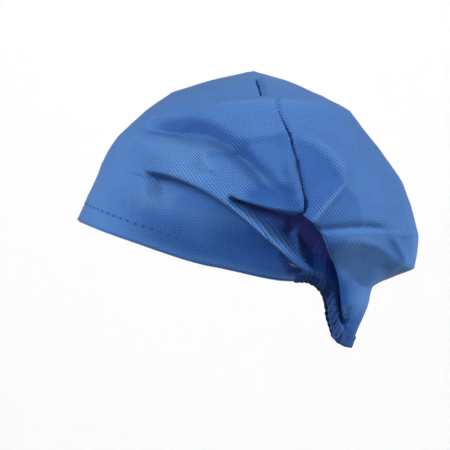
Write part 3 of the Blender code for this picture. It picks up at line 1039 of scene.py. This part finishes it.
@dataclass(frozen=True)
class NonwovenFinish:
    """Matt blue nonwoven, embossed with a staggered lattice of small dots.

    Lengths and places are in metres. A Ramp is where a tone starts and where it is full, and each loss
    is the share of the dots or pits that its ramp takes away.
    """

    name: str = "nonwoven_blue_cloth"
    light: Colour = (0.088, 0.226, 0.540, 1.0)
    # deep is the darker blue for the cloth's random wear and fibres, and for painted shade
    deep: Colour = (0.030, 0.110, 0.380, 1.0)
    dot: Colour = (0.008, 0.036, 0.190, 1.0)
    # Colours of painted shade in the deepest hollows, of painted highlights and of painted shadow
    shade: Colour = (0.088, 0.092, 0.420, 1.0)
    pale: Colour = (0.155, 0.330, 0.660, 1.0)
    dark: Colour = (0.010, 0.016, 0.090, 1.0)
    roughness: float = 0.66
    sheen: float = 0.04
    sheen_roughness: float = 0.45
    specular: float = 0.06
    dot_pitch: float = 0.00188
    dot_reach: float = 0.36
    dot_core: float = 0.45
    dot_wander: float = 0.06
    dot_depth: float = 0.00022
    side_middle: tuple[float, float] = (0.035, 0.050)
    side_reach: tuple[float, float] = (0.100, 0.072)
    side_fade: Ramp = (0.75, 1.15)
    side_loss: float = 0.75
    pouch_back: Ramp = (0.058, 0.078)
    pouch_top: Ramp = (0.018, 0.046)
    pouch_loss: float = 0.55
    wear: Ramp = (0.30, 0.72)
    wear_scale: float = 34.0
    fibre_scale: float = 1500.0
    crumple_scale: float = 90.0
    crumple_depth: float = 0.0007
    # The band is painted shade above the rim behind the brow; its foot stays lighter where light catches
    # the hem's fold
    band_height: float = 0.0315
    band_core: float = 0.55
    band_foot: Ramp = (0.0000, 0.0080)
    band_front: Ramp = (-0.063, -0.027)
    # Where the deepest painted shade takes the shade colour
    deep_hollow: Ramp = (0.80, 1.0)
    stitch_height: float = STITCH_LINE
    stitch_pitch: float = 0.0060
    pit_length: float = 0.0014
    pit_width: float = 0.0012
    pit_edge: Ramp = (0.2, 1.0)
    pit_fade: Ramp = (-0.045, -0.010)
    pit_loss: float = 0.8

    def build(self) -> bpy.types.Material:
        """Makes the material.

        Returns:
            The material.
        """
        nodes = NodeMaker(self.name)
        place = nodes.place()
        split = nodes.node("ShaderNodeSeparateXYZ", {}, {0: place})
        forward, up = Value(nodes, split.outputs["X"]), Value(nodes, split.outputs["Z"])
        dots, pits = self.dots(nodes, forward, up), self.pits(nodes, forward)
        band, hollow_shade = self.band(nodes, forward), nodes.attribute("hollow_shade")
        worn = nodes.noise(place, self.wear_scale, 3.0).ramp(*self.wear)
        fibres = nodes.noise(nodes.cloth(), self.fibre_scale, 2.0)
        # The band and the hollows are painted shade, and the patches mostly so; wear and fibres are the
        # cloth's own tone
        tone = band * 0.70 + hollow_shade * 0.9 + nodes.attribute("double") * 0.7
        colour = nodes.mixed(tone + worn * 0.16 + fibres * 0.10, self.light, self.deep)
        # Over it go painted highlights, the embossed dots, painted shade in the deepest hollows, the stitch
        # pits and painted shadow
        layers = (
            (nodes.attribute("crest") * 0.6, self.pale),
            (dots * (0.70 + fibres * 0.4 + band * 0.3), self.dot),
            (hollow_shade.ramp(*self.deep_hollow) * 0.75, self.shade),
            # The stitch pits are painted darker: painted shade in the needle holes
            (pits * 0.65, self.dot),
            (nodes.attribute("shadow"), self.dark),
        )
        for share, over in layers:
            colour = nodes.mixed(share, colour, over)
        crumpled = nodes.bumped(nodes.noise(place, self.crumple_scale, 3.0), self.crumple_depth)
        relief = dots * -1.0 + fibres * 0.30 + pits * -2.2
        return nodes.finished({
            "Base Color": colour,
            "Roughness": self.roughness,
            "Sheen Weight": self.sheen,
            "Sheen Roughness": self.sheen_roughness,
            "Specular IOR Level": self.specular,
            "Normal": nodes.bumped(relief, self.dot_depth, crumpled),
        })

    def dots(self, nodes: NodeMaker, forward: Value, up: Value) -> Value:
        """Embossed dots, strongest on the middle of the side and faint under the pouch.

        Args:
            nodes: Maker of the material's nodes.
            forward: Place from front to back.
            up: Height.

        Returns:
            Depth of the dots, from 0 to 1.
        """
        pattern = {"feature": "F1", "voronoi_dimensions": "2D"}
        turned, scale = nodes.cloth(math.radians(45.0)), 1.0 / (self.dot_pitch * math.sqrt(0.5))
        values = {"Vector": turned, "Scale": scale, "Randomness": self.dot_wander}
        lattice = nodes.node("ShaderNodeTexVoronoi", pattern, values)
        away = Value(nodes, lattice.outputs["Distance"])
        dots = 1.0 - away.ramp(self.dot_reach * self.dot_core, self.dot_reach)
        # The dots fade away from the middle of each side: painted light, standing in for dots that show
        # less where light grazes the cloth
        along = (forward - self.side_middle[0]) / self.side_reach[0]
        over = (up - self.side_middle[1]) / self.side_reach[1]
        edge = (along * along + over * over).root().ramp(*self.side_fade)
        under_pouch = forward.ramp(*self.pouch_back) * (1.0 - up.ramp(*self.pouch_top))
        return dots * ((1.0 - edge * self.side_loss) * (1.0 - under_pouch * self.pouch_loss))

    def band(self, nodes: NodeMaker, forward: Value) -> Value:
        """Painted shade in a band above the rim behind the brow, lighter at the rim's very edge.

        Args:
            nodes: Maker of the material's nodes.
            forward: Place from front to back.

        Returns:
            Strength of the band, from 0 to 1.
        """
        above = nodes.attribute("above_rim")
        top = 1.0 - above.ramp(self.band_height * self.band_core, self.band_height)
        return top * forward.ramp(*self.band_front) * above.ramp(*self.band_foot)

    def pits(self, nodes: NodeMaker, forward: Value) -> Value:
        """Pits that the hem's stitches press into the cloth, fading toward the ear.

        Args:
            nodes: Maker of the material's nodes.
            forward: Place from front to back.

        Returns:
            Depth of the pits, from 0 to 1.
        """
        above, along = nodes.attribute("above_rim"), nodes.attribute("along_rim")
        across = ((above - self.stitch_height) / self.pit_width).absolute()
        step = along.wrapped(-self.stitch_pitch / 2.0, self.stitch_pitch / 2.0) / self.pit_length
        pits = (1.0 - across.ramp(*self.pit_edge)) * (1.0 - step.absolute().ramp(*self.pit_edge))
        return pits * nodes.attribute("stitched") * (1.0 - forward.ramp(*self.pit_fade) * self.pit_loss)


@dataclass(frozen=True)
class BandedFinish:
    """Finish of thread or elastic, banded in two colours across its run."""

    name: str
    first: Colour
    second: Colour
    direction: str
    scale: float
    distortion: float
    roughness: float
    depth: float

    def build(self) -> bpy.types.Material:
        """Makes the material.

        Returns:
            The material.
        """
        nodes = NodeMaker(self.name)
        pattern = {"wave_type": "BANDS", "bands_direction": self.direction}
        values = {"Vector": nodes.place(), "Scale": self.scale, "Distortion": self.distortion}
        bands = Value(nodes, nodes.node("ShaderNodeTexWave", pattern, values).outputs["Fac"])
        return nodes.finished({
            "Base Color": nodes.mixed(bands, self.first, self.second),
            "Roughness": self.roughness,
            "Normal": nodes.bumped(bands, self.depth),
        })


# Pitch of the thread's ply and of the elastic's ribs, and the finishes that show them
THREAD_PLY = 0.0006
ELASTIC_RIB = 0.0009
THREAD_FINISH = BandedFinish(
    "sewing_thread", (0.018, 0.066, 0.235, 1.0), (0.032, 0.104, 0.320, 1.0),
    "DIAGONAL", 1.0 / THREAD_PLY / 6.0, 1.5, 0.6, 0.0001,
)
ELASTIC_FINISH = BandedFinish(
    "pale_elastic", (0.330, 0.430, 0.620, 1.0), (0.620, 0.700, 0.830, 1.0),
    "Y", 1.0 / ELASTIC_RIB / 3.0, 0.6, 0.75, 0.0003,
)


@dataclass(frozen=True)
class StudioFinish:
    """Plain pale matt paper of the floor."""

    name: str = "pale_paper"
    colour: Colour = (0.86, 0.86, 0.86, 1.0)
    darker: float = 0.985
    grain_scale: float = 60.0
    roughness: float = 0.9

    def build(self) -> bpy.types.Material:
        """Makes the material.

        Returns:
            The material.
        """
        nodes = NodeMaker(self.name)
        grain = nodes.noise(nodes.place(), self.grain_scale, 2.0)
        darker = tuple(part * self.darker for part in self.colour[:3]) + (1.0,)
        return nodes.finished({
            "Base Color": nodes.mixed(grain, self.colour, darker),
            "Roughness": self.roughness,
        })


def add_mesh(name: str, points: np.ndarray, faces: list, material: bpy.types.Material) -> bpy.types.Object:
    """Adds a mesh piece at the origin.

    Args:
        name: Name of the piece.
        points: Its points in metres.
        faces: Its faces, as tuples of point numbers.
        material: Its material.

    Returns:
        The piece.
    """
    mesh = bpy.data.meshes.new(name)
    mesh.from_pydata([tuple(map(float, point)) for point in points], [], faces)
    mesh.materials.append(material)
    mesh.shade_smooth()
    piece = bpy.data.objects.new(name, mesh)
    bpy.context.scene.collection.objects.link(piece)
    return piece


def carry(piece: bpy.types.Object, name: str, values: np.ndarray) -> None:
    """Gives a mesh a number at each of its points.

    Args:
        piece: The mesh piece.
        name: Name of the attribute.
        values: One number for each point.
    """
    attribute = piece.data.attributes.new(name, "FLOAT", "POINT")
    attribute.data.foreach_set("value", np.asarray(values, np.float32))


def lay_cloth(piece: bpy.types.Object, places: np.ndarray) -> None:
    """Gives a mesh its cloth coordinates as a UV map.

    Args:
        piece: The mesh piece.
        places: Two cloth coordinates for each point.
    """
    layer = piece.data.uv_layers.new(name="cloth")
    corners = np.empty(len(piece.data.loops), np.int32)
    piece.data.loops.foreach_get("vertex_index", corners)
    layer.data.foreach_set("uv", places[corners].astype(np.float32).ravel())


def give_thickness(piece: bpy.types.Object, thickness: float) -> None:
    """Thickens a sheet inwards.

    Args:
        piece: The mesh piece.
        thickness: Thickness in metres.
    """
    wall = piece.modifiers.new("thickness", "SOLIDIFY")
    wall.thickness = thickness
    wall.offset = -1.0


def grid_faces(rows: int, columns: int, closed: bool) -> list[tuple[int, ...]]:
    """Faces of a grid of points that turn outwards.

    Args:
        rows: Rows of points.
        columns: Columns of points.
        closed: True if the last column joins the first.

    Returns:
        Faces as tuples of point numbers.
    """
    faces = []
    for k in range(rows - 1):
        for i in range(columns if closed else columns - 1):
            j = (i + 1) % columns
            faces.append((k * columns + i, k * columns + j, (k + 1) * columns + j, (k + 1) * columns + i))
    return faces


# Painted tones that the crown carries for its colour: shade, highlights, shade partly over cloth in two
# layers, and shadow
TONES = ("hollow_shade", "crest", "double", "shadow")


@dataclass
class Crown:
    """The bag of the cap."""

    form: CapForm
    flat: tuple[float, float] = (0.300, 0.330)
    area: float = 0.095

    def build(self, finish: bpy.types.Material) -> bpy.types.Object:
        """Builds and dresses the crown.

        Args:
            finish: The cloth's material.

        Returns:
            The crown.
        """
        rows, columns = self.form.points.shape[:2]
        points = np.vstack([self.form.points[:-1].reshape(-1, 3), self.form.points[-1, :1]])
        smooth = np.vstack([self.form.smooth[:-1].reshape(-1, 3), self.form.smooth[-1, :1]])
        faces = grid_faces(rows - 1, columns, True)
        last = (rows - 2) * columns
        faces += [(last + i, last + (i + 1) % columns, len(points) - 1) for i in range(columns)]
        piece = add_mesh("crown_cloth", points, faces, finish)
        lay_cloth(piece, self.form.cloth_places(smooth))
        self.mark_rim(piece)
        give_thickness(piece, SHEET_THICKNESS)
        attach(piece, "root")
        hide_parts("crown")
        return piece

    def mark_rim(self, piece: bpy.types.Object) -> None:
        """Gives the crown its distances above and along the rim, for the stitch pits, and its painted
        tones.

        Args:
            piece: The crown.
        """
        rows = self.form.points.shape[0] - 1
        rim = self.form.smooth[0]
        steps = np.linalg.norm(np.roll(rim, -1, axis=0) - rim, axis=1)
        along = np.concatenate([[0.0], np.cumsum(steps)[:-1]])
        front = np.where(self.form.turns < SEAM_TURN, 1.0, 0.0)
        carry(piece, "above_rim", np.append(self.form.run[:-1].ravel(), 1.0))
        for name in TONES:
            carry(piece, name, np.append(getattr(self.form, name)[:-1].ravel(), 0.0))
        carry(piece, "along_rim", np.append(np.tile(along, rows), 0.0))
        carry(piece, "stitched", np.append(np.tile(front, rows), 0.0))


@dataclass
class Strip:
    """A strip of cloth or elastic that follows the rim over some of its columns.

    Each corner of path is its distance above the rim, off the sheet's outer face and past the rim.
    shade is the strength of the strip's painted shade all along it, with more painted shade and
    painted shadow that grow toward its two ends.
    """

    form: CapForm
    name: str
    node: str
    slot: str
    path: list[tuple[float, float, float]]
    columns: np.ndarray
    thickness: float
    shade: float = 0.0
    double_and_shade_start: float = 0.55
    double_and_shade_width: float = 0.40
    shadow_least: float = 0.50
    shadow_growth: float = 0.70
    shadow_width: float = 0.95

    def build(self, finish: bpy.types.Material) -> bpy.types.Object:
        """Builds and dresses the strip.

        Args:
            finish: The strip's material.

        Returns:
            The strip.
        """
        rows = [self.form.at_run(*corner)[self.columns] for corner in self.path]
        points = np.vstack(rows)
        piece = add_mesh(self.name, points, grid_faces(len(rows), len(self.columns), False), finish)
        lay_cloth(piece, self.strip_places(rows))
        for name in ("above_rim", "along_rim", "stitched", "crest"):
            carry(piece, name, np.zeros(len(points)))
        # Painted shade all along the strip, with more painted shade and painted shadow toward its two ends
        ends = np.abs(np.linspace(-1.0, 1.0, len(self.columns)))
        double = smoothstep((ends - self.double_and_shade_start) / self.double_and_shade_width)
        shadow = self.shadow_least + self.shadow_growth * smoothstep(ends / self.shadow_width)
        carry(piece, "double", np.tile(double * self.shade, len(rows)))
        carry(piece, "shadow", np.tile(shadow * self.shade, len(rows)))
        carry(piece, "hollow_shade", np.full(len(points), self.shade))
        give_thickness(piece, self.thickness)
        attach(piece, "root")
        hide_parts(self.node)
        return piece

    def strip_places(self, rows: list[np.ndarray]) -> np.ndarray:
        """Lays the strip out flat, along its first row and across it.

        Args:
            rows: The strip's rows of points.

        Returns:
            Two cloth coordinates for each point.
        """
        first = rows[0]
        along = np.concatenate([[0.0], np.cumsum(np.linalg.norm(np.diff(first, axis=0), axis=1))])
        across = [0.0]
        for low, high in zip(rows[:-1], rows[1:]):
            across.append(across[-1] + float(np.linalg.norm(high - low, axis=1).mean()))
        return np.array([(a, b) for b in across for a in along])


@dataclass
class FrontHem:
    """The turned-up hem inside the front rim, with the fold that shows under the crown's edge."""

    form: CapForm

    def build(self, finish: bpy.types.Material) -> bpy.types.Object:
        """Builds and dresses the hem.

        Args:
            finish: The cloth's material.

        Returns:
            The hem.
        """
        inner = -(SHEET_THICKNESS + LAYER_GAP)
        path = [
            (0.0, -0.00006, -0.00020),
            (0.0, -0.00020, 0.00002),
            (0.0, inner / 2.0, 0.00010),
            (0.0, inner - 0.0001, 0.00002),
            (0.0, inner - 0.0002, -0.00010),
        ]
        path += [(HEM_WIDTH * share, inner, 0.0) for share in (0.25, 0.5, 0.75, 1.0)]
        names = ("front_hem_cloth", "front_hem", "nonwoven_blue")
        return Strip(self.form, *names, path, self.form.front_columns(), SHEET_THICKNESS).build(finish)


@dataclass
class NapeCasing:
    """The gathered strip that binds the nape edge, with an outer wall, a fold and an inner wall."""

    form: CapForm
    # Strength of the casing's painted shade and painted shadow
    shade: float = 0.62

    def build(self, finish: bpy.types.Material) -> bpy.types.Object:
        """Builds and dresses the casing.

        Args:
            finish: The cloth's material.

        Returns:
            The casing.
        """
        far = LAYER_GAP + SHEET_THICKNESS
        inner = -(CAD_WALL + 2 * LAYER_GAP + ELASTIC_THICKNESS + SHEET_THICKNESS)
        path = [(CASING_WIDTH, far - 0.0003, 0.0)]
        path += [(CASING_WIDTH * share, far, 0.0) for share in (0.97, 0.8, 0.6, 0.4, 0.2)]
        path += [(0.0, far, 0.0), (0.0, far * 0.6, 0.0009), (0.0, inner / 2.0, 0.0013)]
        path += [(0.0, inner * 0.9, 0.0009), (0.0, inner, 0.0)]
        path += [(CASING_WIDTH * share, inner, 0.0) for share in (0.25, 0.5, 0.75, 1.0)]
        names = ("nape_casing_cloth", "nape_casing", "nonwoven_blue")
        columns = self.form.nape_columns()
        return Strip(self.form, *names, path[::-1], columns, SHEET_THICKNESS, self.shade).build(finish)


@dataclass
class NapeElastic:
    """The flat elastic inside the casing."""

    form: CapForm

    def build(self, finish: bpy.types.Material) -> bpy.types.Object:
        """Builds and dresses the elastic.

        Args:
            finish: The elastic's material.

        Returns:
            The elastic.
        """
        outer = -(CAD_WALL + LAYER_GAP)
        path = [(ELASTIC_RISE + ELASTIC_WIDTH * k / 4.0, outer, 0.0) for k in range(5)]
        names = ("nape_elastic", "elastic_band", "elastic_white")
        return Strip(self.form, *names, path, self.form.nape_columns(), ELASTIC_THICKNESS).build(finish)


class StitchRow(Enum):
    """Rows of stitches on the cap."""

    HEM = "hem"
    CASING = "casing"


@dataclass
class Stitches:
    """A row of short stitches along a line of the sheet."""

    form: CapForm
    row: StitchRow
    pitch: float
    length: float
    radius: float = 0.00019
    bow: float = math.radians(70.0)
    bow_steps: int = 6
    sides: int = 7
    sunk: float = 0.2
    lowered: float = 0.02
    casing_share: float = 0.86
    centre_height: float = 0.02

    def build(self, finish: bpy.types.Material) -> bpy.types.Object:
        """Builds the row with Geometry Nodes and turns it into a plain mesh.

        Args:
            finish: The thread's material.

        Returns:
            The row of stitches.
        """
        name = f"{self.row.value}_stitches"
        line = self.line(name)
        modifier = line.modifiers.new("stitches", "NODES")
        modifier.node_group = self.tree(name, finish)
        values = {"Pitch": self.pitch, "Length": self.length, "Radius": self.radius}
        for item in modifier.node_group.interface.items_tree:
            if item.in_out == "INPUT" and item.name in values:
                modifier[item.identifier] = values[item.name]
        graph = bpy.context.evaluated_depsgraph_get()
        mesh = bpy.data.meshes.new_from_object(line.evaluated_get(graph))
        mesh.name = name
        piece = bpy.data.objects.new(name, mesh)
        bpy.context.scene.collection.objects.link(piece)
        bpy.data.objects.remove(line)
        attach(piece, "root")
        return piece

    def line(self, name: str) -> bpy.types.Object:
        """Makes the line that the stitches follow.

        Args:
            name: Name of the row.

        Returns:
            A mesh of one open path.
        """
        if self.row is StitchRow.HEM:
            points = self.form.at_run(STITCH_LINE, -self.radius * self.sunk)[self.form.front_columns()]
        else:
            off = LAYER_GAP + SHEET_THICKNESS + self.radius * self.sunk
            points = self.form.at_run(CASING_WIDTH * self.casing_share, off)[self.form.nape_columns()]
        mesh = bpy.data.meshes.new(name + "_line")
        edges = [(i, i + 1) for i in range(len(points) - 1)]
        mesh.from_pydata([tuple(map(float, point)) for point in points], edges, [])
        line = bpy.data.objects.new(name + "_line", mesh)
        bpy.context.scene.collection.objects.link(line)
        return line

    def tree(self, name: str, finish: bpy.types.Material) -> bpy.types.NodeTree:
        """Geometry Nodes tree that cuts a line into bowed stitches and gives them a round section.

        Args:
            name: Name of the tree.
            finish: The thread's material.

        Returns:
            The tree.
        """
        tree = bpy.data.node_groups.new(name, "GeometryNodeTree")
        tree.interface.new_socket("Geometry", in_out="INPUT", socket_type="NodeSocketGeometry")
        for word in ("Pitch", "Length", "Radius"):
            tree.interface.new_socket(word, in_out="INPUT", socket_type="NodeSocketFloat")
        tree.interface.new_socket("Geometry", in_out="OUTPUT", socket_type="NodeSocketGeometry")
        node = TreeMaker(tree).node
        given = node("NodeGroupInput", {}, {}).outputs
        line = node("GeometryNodeMeshToCurve", {}, {"Mesh": given["Geometry"]}).outputs["Curve"]
        cuts = {"Curve": line, "Length": given["Pitch"]}
        places = node("GeometryNodeCurveToPoints", {"mode": "LENGTH"}, cuts).outputs
        chord = {0: given["Length"], 1: 2.0 * math.sin(self.bow / 2.0)}
        radius = node("ShaderNodeMath", {"operation": "DIVIDE"}, chord).outputs[0]
        drop = {0: radius, 1: -math.cos(self.bow / 2.0) - self.lowered}
        down = node("ShaderNodeMath", {"operation": "MULTIPLY"}, drop).outputs[0]
        arc = {"Resolution": self.bow_steps, "Radius": radius, "Sweep Angle": self.bow}
        arc["Start Angle"] = math.pi / 2.0 - self.bow / 2.0
        stitch = node("GeometryNodeCurveArc", {"mode": "RADIUS"}, arc).outputs["Curve"]
        offset = node("ShaderNodeCombineXYZ", {}, {"Y": down}).outputs["Vector"]
        settled = node("GeometryNodeTransform", {}, {"Geometry": stitch, "Translation": offset})
        round_section = {"Resolution": self.sides, "Radius": given["Radius"]}
        ring = node("GeometryNodeCurvePrimitiveCircle", {}, round_section).outputs["Curve"]
        tube = {"Curve": settled.outputs["Geometry"], "Profile Curve": ring, "Fill Caps": True}
        thread = node("GeometryNodeCurveToMesh", {}, tube).outputs["Mesh"]
        middle = node("GeometryNodeInputPosition", {}, {}).outputs["Position"]
        from_middle = {0: middle, 1: (0.0, 0.0, self.centre_height)}
        outwards = node("ShaderNodeVectorMath", {"operation": "SUBTRACT"}, from_middle).outputs["Vector"]
        align = "FunctionNodeAlignRotationToVector"
        along = node(align, {"axis": "X"}, {"Vector": places["Tangent"]}).outputs["Rotation"]
        facing = {"Rotation": along, "Vector": outwards}
        off = node(align, {"axis": "Y", "pivot_axis": "X"}, facing).outputs["Rotation"]
        laid = {"Points": places["Points"], "Instance": thread, "Rotation": off}
        rows = node("GeometryNodeInstanceOnPoints", {}, laid).outputs["Instances"]
        real = node("GeometryNodeRealizeInstances", {}, {"Geometry": rows}).outputs["Geometry"]
        smooth = node("GeometryNodeSetShadeSmooth", {}, {"Geometry": real}).outputs["Geometry"]
        dressed = node("GeometryNodeSetMaterial", {}, {"Geometry": smooth, "Material": finish})
        node("NodeGroupOutput", {}, {"Geometry": dressed.outputs["Geometry"]})
        return tree


@dataclass
class Lamp:
    """A soft square light that looks at the cap."""

    name: str
    place: tuple[float, float, float]
    size: float
    power: float
    spread: float = 180.0
    target: tuple[float, float, float] = (0.0, 0.0, 0.04)

    def build(self) -> None:
        """Adds the light, turned to its target."""
        data = bpy.data.lights.new(self.name, "AREA")
        data.energy, data.size, data.spread = self.power, self.size, math.radians(self.spread)
        lamp = bpy.data.objects.new(self.name, data)
        lamp.location = self.place
        aim = Vector(self.target) - Vector(self.place)
        lamp.rotation_euler = aim.to_track_quat("-Z", "Y").to_euler()
        lamp.visible_camera = False
        bpy.context.scene.collection.objects.link(lamp)


@dataclass
class Studio:
    """Pale paper sweep, soft lights and the camera."""

    distance: float = 2.40
    frame_width: float = 0.288
    target: tuple[float, float, float] = (0.0075, 0.0, 0.0363)
    elevation: float = 0.0
    floor_depth: float = 0.60
    floor_radius: float = 2.60
    sweep_radius: float = 1.20
    wall_height: float = 3.20
    sweep_steps: int = 12
    sides: int = 96
    room_light: float = 0.07
    lamps: tuple[Lamp, ...] = (
        Lamp("key", (-0.90, -1.26, 0.80), 0.55, 2.15, 50.0),
        Lamp("front", (-1.60, -0.85, 0.40), 0.70, 0.15, 50.0),
        Lamp("back", (1.65, -0.50, 0.60), 0.70, 2.5, 50.0),
        Lamp("wall", (0.00, 1.40, 1.60), 2.00, 48.0, 150.0, (0.0, 3.6, 0.2)),
        Lamp("front_wall", (-1.40, 0.00, 1.60), 2.00, 14.0, 150.0, (-3.6, 0.0, 0.2)),
        Lamp("back_wall", (1.40, 0.00, 1.60), 2.00, 14.0, 150.0, (3.6, 0.0, 0.2)),
        Lamp("near_wall", (0.00, -1.40, 1.60), 2.00, 10.0, 150.0, (0.0, -3.6, 0.2)),
    )

    def build(self, paper: bpy.types.Material) -> None:
        """Builds the floor, lights and camera.

        Args:
            paper: The floor's material.
        """
        self.sweep(paper)
        for lamp in self.lamps:
            lamp.build()
        self.light_room()
        self.camera()

    def sweep(self, paper: bpy.types.Material) -> bpy.types.Object:
        """A round floor whose edge turns up into a wall.

        Args:
            paper: The floor's material.

        Returns:
            The floor.
        """
        profile, sides = [(self.floor_radius, 0.0)], self.sides
        for k in range(1, self.sweep_steps + 1):
            angle = math.radians(90.0 / self.sweep_steps * k)
            reach = self.floor_radius + self.sweep_radius * math.sin(angle)
            profile.append((reach, self.sweep_radius * (1 - math.cos(angle))))
        profile.append((self.floor_radius + self.sweep_radius, self.wall_height))
        points, faces = [], []
        for reach, up in profile:
            for i in range(sides):
                angle = math.tau * i / sides
                points.append((reach * math.cos(angle), reach * math.sin(angle), up - self.floor_depth))
        faces.append(tuple(range(sides)))
        for k in range(len(profile) - 1):
            for i in range(sides):
                j = (i + 1) % sides
                faces.append((k * sides + i, (k + 1) * sides + i, (k + 1) * sides + j, k * sides + j))
        return add_mesh("paper_sweep", np.array(points), faces, paper)

    def light_room(self) -> None:
        """Soft even light from all round."""
        world = bpy.data.worlds.new("soft_room")
        world.use_nodes = True
        background = world.node_tree.nodes["Background"]
        background.inputs["Color"].default_value = (1.0, 1.0, 1.0, 1.0)
        background.inputs["Strength"].default_value = self.room_light
        bpy.context.scene.world = world

    def camera(self) -> None:
        """Camera level with the cap, looking at its left side."""
        bpy.context.scene.view_settings.view_transform = "Standard"
        data = bpy.data.cameras.new("side_camera")
        data.sensor_width = 36.0
        data.lens = data.sensor_width * self.distance / self.frame_width
        data.dof.use_dof = False
        camera = bpy.data.objects.new("side_camera", data)
        tilt = math.radians(self.elevation)
        back = Vector((0.0, -math.cos(tilt), math.sin(tilt)))
        camera.location = Vector(self.target) + back * self.distance
        camera.rotation_euler = (-back).to_track_quat("-Z", "Y").to_euler()
        bpy.context.scene.collection.objects.link(camera)
        bpy.context.scene.camera = camera


def main() -> None:
    """Builds every piece in order and reports it."""
    logging.basicConfig(level=logging.INFO, format="%(name)s: %(message)s")
    form = CapForm()
    LOG.info("form of %d rows and %d columns", *form.points.shape[:2])
    cloth, thread = NonwovenFinish().build(), THREAD_FINISH.build()
    crown = Crown(form)
    crown_piece = crown.build(cloth)
    strips = {
        "hem": FrontHem(form).build(cloth),
        "casing": NapeCasing(form).build(cloth),
        "elastic": NapeElastic(form).build(ELASTIC_FINISH.build()),
        "hem_stitches": Stitches(form, StitchRow.HEM, pitch=0.0060, length=0.0030).build(thread),
        "casing_stitches": Stitches(form, StitchRow.CASING, pitch=0.0030, length=0.0020).build(thread),
    }
    for piece in (crown_piece, *strips.values()):
        LOG.info("%s has %d faces", piece.name, len(piece.data.polygons))
    Studio().build(StudioFinish().build())


if __name__ == "__main__":
    main()
